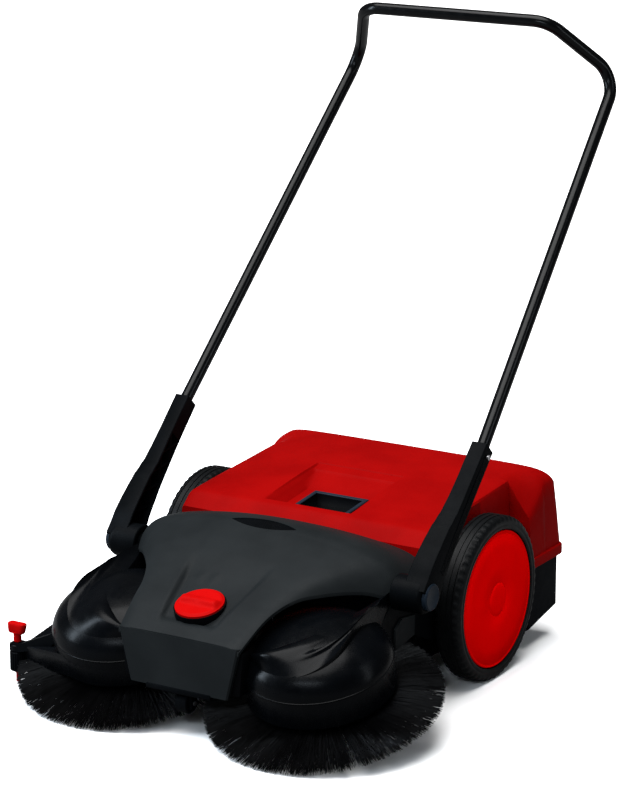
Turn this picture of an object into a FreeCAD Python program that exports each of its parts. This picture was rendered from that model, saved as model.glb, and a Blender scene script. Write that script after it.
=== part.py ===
"""Walk-behind sweeper with two tilted disc brushes, a lift-off dirt container and a folding push handle.

Millimetres. +Z is up, the front of the machine faces -Y, and X = 0 is its middle plane.
The origin is on the floor, under the middle of the machine.
"""
import FreeCAD
import Part
import math
import os

Vector = FreeCAD.Vector
ORIGIN = Vector(0, 0, 0)
X_AXIS = Vector(1, 0, 0)
Z_AXIS = Vector(0, 0, 1)
SIDES = (("left", -1), ("right", 1))

# Wheels
WHEEL_R = 142.5
WHEEL_Y = 45.0
WHEEL_OUT = 301.4
WHEEL_IN = 253.4
RIM_R = 120.0
DISC_R = 118.2
AXLE_R = 10.0
RUNNING = 0.05

# Brushes: every brush part is drawn on an upright axis, then tilted forward and put in place.
# The tufts end just short of the middle plane, and their lowest tips touch the floor.
BRUSH_X = 187.0
BRUSH_Y = -335.0
BRUSH_TILT = 15.2
BRUSH_Z = 55.0
TIP_R = 186.0
TUFTS = 24
PLATE_R = 62.0
SPINDLE_R = 8.0
DECK_LOW = 54.0
DECK_HIGH = 60.0
DECK_R = 117.0
DOME_R = 123.5
DOME_LOW = 33.0
DOME_HIGH = 131.0
SIN_TILT = math.sin(math.radians(BRUSH_TILT))
COS_TILT = math.cos(math.radians(BRUSH_TILT))
TIP_BELOW = (BRUSH_Z - TIP_R * SIN_TILT) / COS_TILT

# Drive from each wheel to its brush
RING_TEETH = 72
PINION_TEETH = 12
RING_MODULE = 3.0
CROWN_TEETH = 36
CROWN_MODULE = 1.5
LAY_Y = WHEEL_Y - RING_MODULE * (RING_TEETH - PINION_TEETH) / 2
LAY_R = 6.0
FRONT_R = 5.0
FRONT_H = 85.0
FRONT_Y = BRUSH_Y - FRONT_H * SIN_TILT
FRONT_Z = BRUSH_Z + FRONT_H * COS_TILT
PULLEY_R = 14.0
PULLEY_IN = 228.0
PULLEY_OUT = 238.0
BELT_T = 2.5

# Chassis
ARM_IN = 240.0
ARM_OUT = 250.0
ARM_TOP = 185.0
COVER_T = 4.0

# Handle
PIVOT_Y = -209.0
PIVOT_Z = 220.5
PIVOT_R = 8.0
PIVOT_BOSS_R = 18.0
BRACKET_IN = 270.0
BRACKET_OUT = 312.0
CAP_OUT = 315.3
TUBE_R = 11.0
TUBE_WALL = 1.5
SOCKET = Vector(294.8, -5.8, 425.0)
BEND_LOW = Vector(262.3, 533.4, 963.8)
BEND_HIGH = Vector(185.0, 416.0, 1069.6)
SOCKET_DEPTH = 70.0
BEND_R = 48.0

# Dirt container
BOX_FRONT = -106.0
BOX_REAR = 318.0
BOX_HALF = 285.0
BOX_TOP_HALF = 275.0
NARROW_HALF = 246.0
WELL_REAR = 196.0
WELL_TOP = 188.0
TUB_HALF = 218.0
TUB_LOW = 52.0
TUB_REAR = 313.0
LIP_LOW = 152.0
CORNER_R = 14.0
SHELL_T = 3.5

# Moves the finished drawing so that the origin lies under the middle of the machine
FRAME_SHIFT = Vector(12, -5, 0)

# Height roller, drawn raised into the nose, and side guide
ROLLER_Y = -457.0
ROLLER_R = 18.0
ROLLER_LIFT = 42.0
KNOB_Y = -414.0
KNOB_Z = 212.0
KNOB_R = 41.0
KNOB_TILT = 16.0
GUIDE_X = -378.5
GUIDE_Y = -402.0
GUIDE_R = 14.0


# Helpers

def face(points):
    """A flat face through the given corners."""
    return Part.Face(Part.makePolygon(points + [points[0]]))


def box(x0, x1, y0, y1, z0, z1):
    return Part.makeBox(x1 - x0, y1 - y0, z1 - z0, Vector(x0, y0, z0))


def rod_x(radius, x0, x1, y, z):
    return Part.makeCylinder(radius, x1 - x0, Vector(x0, y, z), X_AXIS)


def rod_z(radius, x, y, z0, z1):
    return Part.makeCylinder(radius, z1 - z0, Vector(x, y, z0), Z_AXIS)


def slab_x(outline, x0, x1):
    """Extrude an outline of (y, z) corners from x0 to x1."""
    return face([Vector(x0, y, z) for y, z in outline]).extrude(Vector(x1 - x0, 0, 0))


def turned_x(profile, y, z):
    """Turn a closed profile of (x, radius) points about the X-direction axis through (y, z)."""
    solid = face([Vector(x, 0, r) for x, r in profile]).revolve(ORIGIN, X_AXIS, 360)
    solid.translate(Vector(0, y, z))
    return solid


def turned_z(profile):
    """Turn a closed profile of (radius, height) points about Z."""
    return face([Vector(r, 0, h) for r, h in profile]).revolve(ORIGIN, Z_AXIS, 360)


def to_side(solid, side):
    """The right-hand solid itself, or its mirror image on the left."""
    return solid if side > 0 else solid.mirror(ORIGIN, X_AXIS)


def both_sides(solid):
    """One node with the right-hand solid and its mirror image as separate solids."""
    return Part.makeCompound([to_side(solid, side) for _, side in SIDES])


def on_brush_axis(solid):
    """Tilt an upright right-hand brush part forward and move it to the brush centre."""
    placed = solid.copy()
    placed.rotate(ORIGIN, X_AXIS, BRUSH_TILT)
    placed.translate(Vector(BRUSH_X, BRUSH_Y, BRUSH_Z))
    return placed


def level_on_brush(y, height):
    """Z of the plane at the given height along the brush axis, at depth y."""
    along = (y - BRUSH_Y + height * SIN_TILT) / COS_TILT
    return BRUSH_Z + height * COS_TILT + along * SIN_TILT


def polar(radius, degrees):
    angle = math.radians(degrees)
    return radius * math.cos(angle), radius * math.sin(angle)


def wedge_tooth(r_root, r_tip, half_root, half_tip, degrees):
    """Corners of a tapering tooth or gap that points along the given direction."""
    corners = []
    for r, half in ((r_root, -half_root), (r_tip, -half_tip), (r_tip, half_tip), (r_root, half_root)):
        a, b = polar(1, degrees)
        corners.append((r * a - half * b, r * b + half * a))
    return corners


# Wheels

def tyre():
    shoulder = 5.0
    profile = [(WHEEL_IN + 2, RIM_R), (WHEEL_IN, RIM_R + 6), (WHEEL_IN, WHEEL_R - 10),
               (WHEEL_IN + shoulder, WHEEL_R), (WHEEL_OUT - shoulder, WHEEL_R),
               (WHEEL_OUT, WHEEL_R - 10), (WHEEL_OUT, DISC_R + 3), (WHEEL_OUT - 4, RIM_R)]
    return turned_x(profile, WHEEL_Y, WHEEL_R)


def rim():
    """Wheel body: rim band, web, hub and an inside ring gear on its inner edge."""
    band_in = WHEEL_IN + 2
    root = RING_MODULE * RING_TEETH / 2 + 3.5
    tip = RING_MODULE * RING_TEETH / 2 - 2.4
    gear_out = band_in + 11
    profile = [(band_in, tip), (band_in, RIM_R), (294, RIM_R), (294, 114), (276, 114), (276, 28),
               (288, 28), (288, AXLE_R + RUNNING), (WHEEL_IN, AXLE_R + RUNNING), (WHEEL_IN, 24),
               (270, 28), (270, 114), (gear_out, 114), (gear_out, tip)]
    wheel = turned_x(profile, WHEEL_Y, WHEEL_R)
    gaps = []
    for i in range(RING_TEETH):
        degrees = 180 + i * 360 / RING_TEETH
        outline = [(WHEEL_Y + a, WHEEL_R + b) for a, b in wedge_tooth(tip - 1, root, 2.9, 2.1, degrees)]
        gaps.append(slab_x(outline, band_in - 1, gear_out + 1))
    return wheel.cut(Part.makeCompound(gaps))


def wheel_disc():
    """Dished cover disc with a raised round hub, clipped inside the rim."""
    hub = 28.0
    profile = [(294.5, 0), (294.5, 112), (288, 112), (288, 113.8), (294.5, 113.8), (296, DISC_R),
               (298, DISC_R), (299.5, DISC_R - 5), (300.5, hub + 2), (299.5, hub + 1), (299.5, hub),
               (301.4, hub - 2), (301.4, 0)]
    return turned_x(profile, WHEEL_Y, WHEEL_R)


def axle():
    return rod_x(AXLE_R, ARM_IN - 4, 293, WHEEL_Y, WHEEL_R)


def axle_clip():
    return turned_x([(289, AXLE_R), (289, 15), (291, 15), (291, AXLE_R)], WHEEL_Y, WHEEL_R)


# Drive

def gear_shaft():
    """Lay shaft whose outer end is the small gear that runs in the wheel's ring gear."""
    shaft = rod_x(LAY_R, PULLEY_IN - 2, 266, LAY_Y, WHEEL_R)
    pitch = RING_MODULE * PINION_TEETH / 2
    gear = rod_x(pitch - 3.4, 255, 266, LAY_Y, WHEEL_R)
    for i in range(PINION_TEETH):
        degrees = 180 + i * 360 / PINION_TEETH
        outline = [(LAY_Y + a, WHEEL_R + b)
                   for a, b in wedge_tooth(pitch - 4.5, pitch + 2.4, 2.6, 1.3, degrees)]
        gear = gear.fuse(slab_x(outline, 255, 266))
    return shaft.fuse(gear).removeSplitter()


def pulley(bore, y, z):
    profile = [(PULLEY_IN, bore), (PULLEY_IN, PULLEY_R + 3), (PULLEY_IN + 1, PULLEY_R + 3),
               (PULLEY_IN + 1, PULLEY_R), (PULLEY_OUT - 1, PULLEY_R), (PULLEY_OUT - 1, PULLEY_R + 3),
               (PULLEY_OUT, PULLEY_R + 3), (PULLEY_OUT, bore)]
    return turned_x(profile, y, z)


def loop_around_pulleys(radius, x0, x1):
    """Solid racetrack around the rear and front pulley axes."""
    span_y = FRONT_Y - LAY_Y
    span_z = FRONT_Z - WHEEL_R
    span = math.hypot(span_y, span_z)
    ends = rod_x(radius, x0, x1, LAY_Y, WHEEL_R).fuse(rod_x(radius, x0, x1, FRONT_Y, FRONT_Z))
    off_y = -span_z / span * radius
    off_z = span_y / span * radius
    outline = [(LAY_Y + off_y, WHEEL_R + off_z), (FRONT_Y + off_y, FRONT_Z + off_z),
               (FRONT_Y - off_y, FRONT_Z - off_z), (LAY_Y - off_y, WHEEL_R - off_z)]
    return ends.fuse(slab_x(outline, x0, x1)).removeSplitter()


def drive_belt():
    inner = PULLEY_R + 0.3
    outer = loop_around_pulleys(inner + BELT_T, PULLEY_IN + 1.5, PULLEY_OUT - 1.5)
    return outer.cut(loop_around_pulleys(inner, PULLEY_IN, PULLEY_OUT))


def front_shaft():
    """Shaft across the top of the brush housing, in two bearing posts."""
    return rod_x(FRONT_R, BRUSH_X - 45, PULLEY_OUT + 1, FRONT_Y, FRONT_Z)


def crown_pinion():
    """Small gear on the front shaft, on the side of the spindle nearest the middle of the machine."""
    pitch = CROWN_MODULE * PINION_TEETH / 2
    reach = CROWN_MODULE * CROWN_TEETH / 2
    x0, x1 = BRUSH_X - reach - 5, BRUSH_X - reach + 5
    gear = rod_x(pitch - 1.7, x0, x1, FRONT_Y, FRONT_Z)
    for i in range(PINION_TEETH):
        degrees = BRUSH_TILT - 90 + i * 360 / PINION_TEETH
        outline = [(FRONT_Y + a, FRONT_Z + b)
                   for a, b in wedge_tooth(pitch - 2.5, pitch + 1.1, 1.0, 0.4, degrees)]
        gear = gear.fuse(slab_x(outline, x0, x1))
    return gear.cut(rod_x(FRONT_R, x0 - 1, x1 + 1, FRONT_Y, FRONT_Z)).removeSplitter()


def crown_gear():
    """Disc with teeth on its upper face, keyed to the brush spindle."""
    gear = turned_z([(SPINDLE_R, 65), (31.5, 65), (31.5, 73.8), (SPINDLE_R, 73.8)])
    for i in range(CROWN_TEETH):
        tooth = Part.makeBox(10.5, 1.2, 2.7, Vector(21, -0.6, 73.5))
        tooth.rotate(ORIGIN, Z_AXIS, (i + 0.5) * 360 / CROWN_TEETH)
        gear = gear.fuse(tooth)
    return on_brush_axis(gear)


# Brushes

def brush_spindle():
    return on_brush_axis(turned_z([(0, 14), (SPINDLE_R, 14), (SPINDLE_R, 78), (0, 78)]))


def spindle_bush():
    profile = [(SPINDLE_R + RUNNING, 42), (15, 42), (15, 45), (11, 45), (11, 63), (SPINDLE_R + RUNNING, 63)]
    return on_brush_axis(turned_z(profile))


def brush_plate():
    profile = [(SPINDLE_R, 14), (48, 14), (PLATE_R, 10), (PLATE_R, 22), (40, 28), (18, 38), (SPINDLE_R, 38)]
    return on_brush_axis(turned_z(profile))


def tuft(root_half, tip_half):
    """One bundle of bristles that runs out and down from the plate to its tip."""
    root = [Vector(PLATE_R, -root_half, 11), Vector(PLATE_R, root_half, 11),
            Vector(PLATE_R, root_half, 20), Vector(PLATE_R, -root_half, 20)]
    tip = [Vector(TIP_R, -tip_half, -TIP_BELOW), Vector(TIP_R, tip_half, -TIP_BELOW),
           Vector(TIP_R, tip_half, 0), Vector(TIP_R, -tip_half, 0)]
    wires = [Part.makePolygon(ring + [ring[0]]) for ring in (root, tip)]
    return Part.makeLoft(wires, True, True)


def bristles():
    """Ring of separate tufts round the plate."""
    ring = []
    for i in range(TUFTS):
        bundle = tuft(6.0, 9.5)
        bundle.rotate(ORIGIN, Z_AXIS, i * 360 / TUFTS)
        ring.append(on_brush_axis(bundle))
    return Part.makeCompound(ring)


def brush_cover():
    """Round brush housing: a drum-shaped skirt with a stepped shoulder and a slightly domed top."""
    outer = turned_z([(0, DOME_LOW), (DOME_R, DOME_LOW), (DOME_R, DOME_HIGH - 8), (DOME_R - 3, DOME_HIGH - 2),
                      (DOME_R - 9, DOME_HIGH), (DOME_R - 25, DOME_HIGH), (0, DOME_HIGH + 4)])
    inner_r = DOME_R - 3
    inner = turned_z([(0, DOME_LOW - 1), (inner_r, DOME_LOW - 1), (inner_r, DOME_HIGH - 9),
                      (DOME_R - 11, DOME_HIGH - 3), (DOME_R - 25, DOME_HIGH - 3), (0, DOME_HIGH + 1)])
    cover = on_brush_axis(outer.cut(inner))
    nose = box(0, 124, -520, -405, 0, 300)
    passage = box(PULLEY_IN - 3, ARM_OUT + 1, -290, -200, 60, 300)
    slot = Part.makeBox(DOME_R, 216, DECK_HIGH - DECK_LOW + 2, Vector(-DOME_R - 2, -97, DECK_LOW - 1))
    return cover.cut(nose).cut(passage).cut(on_brush_axis(slot))


# Chassis

def brush_deck():
    """Tilted plate over both brushes, with a bearing boss and two shaft posts on each side."""
    plate = Part.makeCylinder(DECK_R, DECK_HIGH - DECK_LOW, Vector(0, 0, DECK_LOW))
    boss = Part.makeCylinder(19, 25, Vector(0, 0, 38.5))
    half = on_brush_axis(plate.fuse(boss))
    for x in (-42, 33):
        post = Part.makeBox(6, 26, 37, Vector(x, -13, DECK_HIGH - 1))
        half = half.fuse(on_brush_axis(post))
    hole = turned_z([(0, 30), (15, 30), (15, 45), (11, 45), (11, 70), (0, 70)])
    half = half.cut(on_brush_axis(hole)).cut(rod_x(FRONT_R + RUNNING, 100, 260, FRONT_Y, FRONT_Z))
    half = half.cut(box(PULLEY_IN - 2, ARM_IN, -330, -200, 60, 300))
    middle = Part.makeBox(2 * BRUSH_X - 100, 212, DECK_HIGH - DECK_LOW,
                          Vector(-2 * BRUSH_X + 50, -95, DECK_LOW))
    deck = half.fuse(to_side(half, -1)).fuse(on_brush_axis(middle))
    return deck


def side_arm():
    """Upright plate that joins the brush deck to the wheel axle and carries the handle pivot."""
    outline = [(-400, 97), (-250, 135), (-150, 128), (-100, 105), (75, 105), (78, 165), (60, ARM_TOP),
               (-118, ARM_TOP), (-150, 195), (-185, 212), (-225, 206), (-252, 186), (-300, 150), (-400, 108)]
    arm = slab_x(outline, ARM_IN, ARM_OUT)
    arm = arm.fuse(rod_x(PIVOT_BOSS_R, ARM_IN, 266, PIVOT_Y, PIVOT_Z))
    arm = arm.cut(rod_x(AXLE_R, ARM_IN - 10, ARM_OUT + 10, WHEEL_Y, WHEEL_R))
    arm = arm.cut(rod_x(LAY_R + RUNNING, ARM_IN - 10, ARM_OUT + 10, LAY_Y, WHEEL_R))
    return arm.cut(rod_x(PIVOT_R, ARM_IN - 10, 270, PIVOT_Y, PIVOT_Z))


def chassis_frame():
    frame = brush_deck()
    for _, side in SIDES:
        frame = frame.fuse(to_side(side_arm(), side))
    guide = box(-16, 16, ROLLER_Y - 12, -425, 96, 122).fuse(box(-16, 16, -437, -425, 84, 122))
    frame = frame.fuse(guide).cut(rod_z(6 + RUNNING, 0, ROLLER_Y, 60, 180))
    for x, y in COVER_SCREWS:
        frame = frame.cut(rod_z(2.2, x, y, 60, 160))
    return frame.removeSplitter()


# Front cover: (y, half width, then height at the middle, at the shoulder and at the edge) of its sections

COVER_SECTIONS = [(-479, 115, 178, 176, 170), (-425, 114, 209, 207, 200), (-385, 119, 228, 224, 214),
                  (-350, 136, 244, 238, 225), (-320, 164, 258, 250, 230), (-290, 192, 271, 258, 232),
                  (-260, 220, 284, 262, 228), (-235, 244, 294, 263, 218), (-209, 261, 300, 262, 210),
                  (-165, 261, 293, 258, 212), (-109, 250, 273, 248, 222)]
LENS_Y = -220
LENS_WIDTH = 30
LENS_TILT = 13
COVER_SCREWS = [(-82, -425), (82, -425), (-44, -262), (44, -262)]


def cover_height(half, middle, shoulder, edge, x):
    """Height of a cross-section at x: a shallow crown whose ends turn down to the edge."""
    across = abs(x / half)
    return middle - (middle - shoulder) * across ** 2 - (shoulder - edge) * across ** 14


def cover_wire(y, half, middle, shoulder, edge):
    steps = 14
    tops, lows = [], []
    for i in range(steps + 1):
        x = half * math.sin(math.pi * (i / steps - 0.5))
        z = cover_height(half, middle, shoulder, edge, x)
        tops.append(Vector(x, y, z))
        lows.append(Vector(x * (1 - COVER_T / half), y, z - COVER_T))
    upper = Part.BSplineCurve()
    upper.interpolate(tops)
    lower = Part.BSplineCurve()
    lower.interpolate(lows)
    return Part.Wire([upper.toShape(), Part.makeLine(tops[-1], lows[-1]), lower.toShape(),
                      Part.makeLine(lows[0], tops[0])])


def hood_height(x, y):
    """Height of the front cover's outer face, between the two nearest cross-sections."""
    for (y0, *one), (y1, *two) in zip(COVER_SECTIONS, COVER_SECTIONS[1:]):
        if y0 <= y <= y1:
            part = (y - y0) / (y1 - y0)
            return (1 - part) * cover_height(*one, x) + part * cover_height(*two, x)


def apron_block(inset):
    """Nose of the hood below its top panel: a flat front face that narrows towards its lower edge."""
    rings = []
    for half, z in ((93, 87 - inset / 4), (114.5, 174.5 + inset / 4)):
        half -= inset
        corners = [Vector(-half - 4, -446 + inset / 4, z), Vector(-half, -480 + inset, z),
                   Vector(half, -480 + inset, z), Vector(half + 4, -446 + inset / 4, z)]
        rings.append(Part.makePolygon(corners + [corners[0]]))
    return Part.makeLoft(rings, True, True)


def front_cover():
    """Hood over the drive: a crowned top panel with a near-upright apron round the nose."""
    hood = Part.makeLoft([cover_wire(*section) for section in COVER_SECTIONS], True, False)
    cover = hood.fuse(apron_block(0).cut(apron_block(COVER_T)))
    for x, y in COVER_SCREWS:
        foot = level_on_brush(y, DECK_HIGH) + 3
        cover = cover.fuse(rod_z(6, x, y, foot, hood_height(x, y) - COVER_T / 2))
        cover = cover.cut(rod_z(2, x, y, foot - 1, foot + 40))
    knob_hole = Part.makeCylinder(KNOB_R + 2.5, 60, Vector(0, 0, -35))
    cover = cover.cut(on_knob_axis(knob_hole))
    cover = cover.cut(lens(-20, 20))
    for side in (-1, 1):
        cover = cover.cut(to_side(rod_x(PIVOT_BOSS_R + 1, 236, 300, PIVOT_Y, PIVOT_Z), side))
    return cover.removeSplitter()


def lens(low, high):
    """Lens-shaped prism square to the slope in front of the hood's crest, at heights counted from it."""
    arc_r = 144
    centre = arc_r - LENS_WIDTH / 2
    shape = rod_z(arc_r, 0, centre, low, high).common(rod_z(arc_r, 0, -centre, low, high))
    shape.rotate(ORIGIN, X_AXIS, LENS_TILT)
    shape.translate(Vector(0, LENS_Y, hood_height(0, LENS_Y)))
    return shape


def slot_insert():
    """Black lens-shaped blank that closes the slot on the crest."""
    return lens(-4.5, -2)


def on_knob_axis(solid):
    placed = solid.copy()
    placed.rotate(ORIGIN, X_AXIS, KNOB_TILT)
    placed.translate(Vector(0, KNOB_Y, KNOB_Z))
    return placed


def cover_screws():
    group = []
    for x, y in COVER_SCREWS:
        low = level_on_brush(y, DECK_LOW) - 5
        group.append(rod_z(4, x, y, low, low + 3).fuse(rod_z(2, x, y, low, low + 34)))
    return Part.makeCompound(group)


def side_panel():
    outline = [(-222, 122), (-160, 132), (-158, 166), (-200, 172), (-222, 158)]
    return slab_x(outline, ARM_OUT, ARM_OUT + 4)


def dirt_ramp():
    """Sloping tray that leads the sweepings up into the mouth of the container."""
    tray = slab_x([(-286, 7), (-284, 4), (-112, 58), (-110, 62), (-114, 62)], -TUB_HALF - 4, TUB_HALF + 4)
    for side in (-1, 1):
        cheek = slab_x([(-150, 47), (-110, 60), (-110, 122), (-136, 122), (-141, 60)], TUB_HALF, TUB_HALF + 4)
        foot = box(TUB_HALF + 4, ARM_IN, -134, -112, 112, 120)
        tray = tray.fuse(to_side(cheek.fuse(foot), side))
    return tray.removeSplitter()


def ramp_lip():
    return slab_x([(-300, 1.5), (-296, 1.5), (-284, 4), (-286, 7)], -TUB_HALF, TUB_HALF)


# Height roller in the nose, and its knob

def height_knob():
    knob = turned_z([(0, -2), (KNOB_R, -2), (KNOB_R, 4), (KNOB_R - 3, 7), (0, 8)])
    grip = Part.makeBox(2 * KNOB_R - 14, 16, 12, Vector(-KNOB_R + 7, -8, 2))
    stem = Part.makeCylinder(9, 40, Vector(0, 0, -42))
    return on_knob_axis(knob.fuse(grip).fuse(stem).removeSplitter())


def knob_socket():
    """Cup under the hood that the knob's stem turns in."""
    rim_r = KNOB_R + 2.3
    cup = turned_z([(9 + RUNNING, -40), (16, -40), (16, -16), (rim_r, -16), (rim_r, 1), (rim_r - 1.7, 1),
                    (rim_r - 1.7, -12), (9 + RUNNING, -12)])
    return on_knob_axis(cup)


def roller_fork():
    axle_z = ROLLER_R + ROLLER_LIFT
    rod = rod_z(6, 0, ROLLER_Y, axle_z + 24, 172)
    yoke = box(-16, 16, ROLLER_Y - 8, ROLLER_Y + 8, axle_z + 21, axle_z + 27)
    for x in (-16, 12):
        yoke = yoke.fuse(box(x, x + 4, ROLLER_Y - 8, ROLLER_Y + 8, axle_z - 8, axle_z + 22))
    return yoke.fuse(rod).cut(rod_x(4, -20, 20, ROLLER_Y, axle_z)).removeSplitter()


def roller_pin():
    return rod_x(4, -18, 18, ROLLER_Y, ROLLER_R + ROLLER_LIFT)


def support_roller():
    profile = [(-11, 4 + RUNNING), (-11, ROLLER_R - 1.5), (-9.5, ROLLER_R), (9.5, ROLLER_R),
               (11, ROLLER_R - 1.5), (11, 4 + RUNNING)]
    return turned_x(profile, ROLLER_Y, ROLLER_R + ROLLER_LIFT)


# Side guide on the left

def guide_arm():
    outline = [(GUIDE_X - 9, 62), (GUIDE_X + 10, 62), (-306, 80), (-290, 96), (-306, 104), (GUIDE_X + 10, 76),
               (GUIDE_X - 9, 76)]
    arm = face([Vector(x, GUIDE_Y - 11, z) for x, z in outline]).extrude(Vector(0, 22, 0))
    arm = arm.cut(rod_z(4 + RUNNING, GUIDE_X, GUIDE_Y, 50, 90))
    drum = Part.makeCylinder(DOME_R, 130, Vector(0, 0, 10))
    return arm.cut(to_side(on_brush_axis(drum), -1))


def guide_pin():
    shaft = rod_z(4, GUIDE_X, GUIDE_Y, 6, 84)
    return shaft.fuse(rod_z(5.5, GUIDE_X, GUIDE_Y, 22, 25))


def guide_roller():
    ring = rod_z(GUIDE_R, GUIDE_X, GUIDE_Y, 26, 60)
    return ring.cut(rod_z(4 + RUNNING, GUIDE_X, GUIDE_Y, 20, 64))


def guide_knob():
    """Winged thumb knob on the top of the guide pin."""
    neck = rod_z(7, GUIDE_X, GUIDE_Y, 78, 92)
    head = Part.makeCone(9, 18, 14, Vector(GUIDE_X, GUIDE_Y, 90))
    head = head.fuse(Part.makeCone(18, 14, 7, Vector(GUIDE_X, GUIDE_Y, 104)))
    for angle in (0, 120, 240):
        dx, dy = polar(27, angle + 30)
        head = head.cut(rod_z(12, GUIDE_X + dx, GUIDE_Y + dy, 86, 114))
    return neck.fuse(head).cut(rod_z(4, GUIDE_X, GUIDE_Y, 70, 84)).removeSplitter()


# Handle

def bracket_point(along, offset):
    """(y, z) of a point given along the arm from the pivot, and offset towards the front and top."""
    dy = SOCKET.y - PIVOT_Y
    dz = SOCKET.z - PIVOT_Z
    length = math.hypot(dy, dz)
    return (PIVOT_Y + (along * dy - offset * dz) / length, PIVOT_Z + (along * dz + offset * dy) / length)


def handle_bracket():
    """Curved arm from the pivot eye up to the socket that takes the end of the tube."""
    front = [(-8, 36), (40, 34), (80, 31), (115, 29), (150, 20), (185, 18), (284, 16)]
    rear = [(284, -16), (190, -17), (110, -15), (60, -18), (30, -26), (-8, -30)]
    arm = slab_x([bracket_point(a, o) for a, o in front + rear], BRACKET_IN + 3, BRACKET_OUT)
    arm = arm.fuse(rod_x(32, BRACKET_IN - 2, BRACKET_OUT, PIVOT_Y, PIVOT_Z))
    arm = arm.cut(rod_x(PIVOT_R + RUNNING, 250, 320, PIVOT_Y, PIVOT_Z))
    arm = arm.cut(rod_x(23.3, CAP_OUT - 7.3, 320, PIVOT_Y, PIVOT_Z))
    leg = BEND_LOW - SOCKET
    leg.normalize()
    bore = Part.makeCylinder(TUBE_R + 0.1, SOCKET_DEPTH + 40, SOCKET - leg * SOCKET_DEPTH, leg)
    arm = arm.cut(bore)
    return arm.removeSplitter()


def pivot_pin():
    return rod_x(PIVOT_R, ARM_IN - 4, CAP_OUT - 7.5, PIVOT_Y, PIVOT_Z)


def pivot_cap():
    return rod_x(23, CAP_OUT - 7, CAP_OUT, PIVOT_Y, PIVOT_Z)


def rounded_path(points, radius):
    """Straight runs through the points, joined by tangent arcs."""
    edges = []
    start = points[0]
    for before, corner, after in zip(points, points[1:], points[2:]):
        back = (before - corner).normalize()
        ahead = (after - corner).normalize()
        half = back.getAngle(ahead) / 2
        run = radius / math.tan(half)
        enter = corner + back * run
        leave = corner + ahead * run
        inward = (back + ahead).normalize()
        middle = corner + inward * (radius / math.sin(half) - radius)
        edges.append(Part.makeLine(start, enter))
        edges.append(Part.Arc(enter, middle, leave).toShape())
        start = leave
    edges.append(Part.makeLine(start, points[-1]))
    return Part.Wire(edges)


def handle_tube():
    leg = BEND_LOW - SOCKET
    leg.normalize()
    foot = SOCKET - leg * (SOCKET_DEPTH - 1)
    right = [foot, BEND_LOW, BEND_HIGH]
    left = [Vector(-p.x, p.y, p.z) for p in right[::-1]]
    path = rounded_path([Vector(p) for p in right + left], BEND_R)
    skins = []
    for radius in (TUBE_R, TUBE_R - TUBE_WALL):
        ring = Part.Wire(Part.makeCircle(radius, foot, leg))
        skins.append(path.makePipeShell([ring], True, False))
    return skins[0].cut(skins[1])


def tube_screws():
    """One pan-head screw through each bracket socket into the tube."""
    leg = BEND_LOW - SOCKET
    leg.normalize()
    centre = SOCKET - leg * 22
    screw = rod_x(4.5, BRACKET_OUT, BRACKET_OUT + 2.5, centre.y, centre.z)
    return both_sides(screw)


# Container

def rounded_plan(half, y0, y1, radius, z):
    """Rectangle in plan whose two rear corners are rounded."""
    a = radius * (1 - math.sqrt(0.5))
    front_left, front_right = Vector(-half, y0, z), Vector(half, y0, z)
    right, rear_right = Vector(half, y1 - radius, z), Vector(half - radius, y1, z)
    rear_left, left = Vector(-half + radius, y1, z), Vector(-half, y1 - radius, z)
    return Part.Wire([Part.makeLine(front_left, front_right), Part.makeLine(front_right, right),
                      Part.Arc(right, Vector(half - a, y1 - a, z), rear_right).toShape(),
                      Part.makeLine(rear_right, rear_left),
                      Part.Arc(rear_left, Vector(-half + a, y1 - a, z), left).toShape(),
                      Part.makeLine(left, front_left)])


def container_block(inset):
    """Outer form of the red top, or the space inside it when inset by the wall thickness."""
    low, high = LIP_LOW - inset, 340.0
    radius = CORNER_R - inset
    sides = Part.makeLoft([rounded_plan(BOX_HALF - inset, BOX_FRONT + inset, BOX_REAR - inset, radius, low),
                           rounded_plan(BOX_TOP_HALF - inset, BOX_FRONT + inset, BOX_REAR - 24 - inset, radius,
                                        high)], True, True)
    profile = [(BOX_FRONT, 100), (BOX_FRONT, 262 - inset), (-80, 285 - inset), (125, 312 - inset),
               (258, 318 - inset), (284 - inset, 309 - inset), (300 - inset, 286 - inset), (330, 211),
                (330, 100)]
    length = slab_x(profile, -300, 300)
    crown = []
    for i in range(-12, 13):
        x = 285 * math.sin(math.pi * i / 24)
        fall = 11 * (x / 250) ** 2 + 44 * abs(x / 288) ** 18
        crown.append(Vector(x, -130, 293 - fall - inset))
    arch = Part.BSplineCurve()
    arch.interpolate(crown)
    ends = [crown[-1], Vector(285, -130, 0), Vector(-285, -130, 0), crown[0]]
    outline = Part.Wire([arch.toShape(), Part.makePolygon(ends)])
    width = Part.Face(outline).extrude(Vector(0, 460, 30))
    block = sides.common(length).common(width)
    for side in (-1, 1):
        well = box(NARROW_HALF - inset, 320, BOX_FRONT - 20, WELL_REAR + inset, 0, 400)
        block = block.cut(to_side(well, side))
    under = box(-320, 320, BOX_FRONT - 20, WELL_REAR + inset, 0, WELL_TOP + inset)
    return block.cut(under)


def grip_pocket(grow):
    """Recess in the lid for the hand: flat sloping floor and a bevel up to the rear."""
    profile = [(-61 - grow, 270.5 - grow), (40, 281 - grow), (124 + grow, 309 - grow), (126 + grow, 340),
               (-61 - grow, 340)]
    return slab_x(profile, -73.5 - grow, 73.5 + grow)


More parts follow.
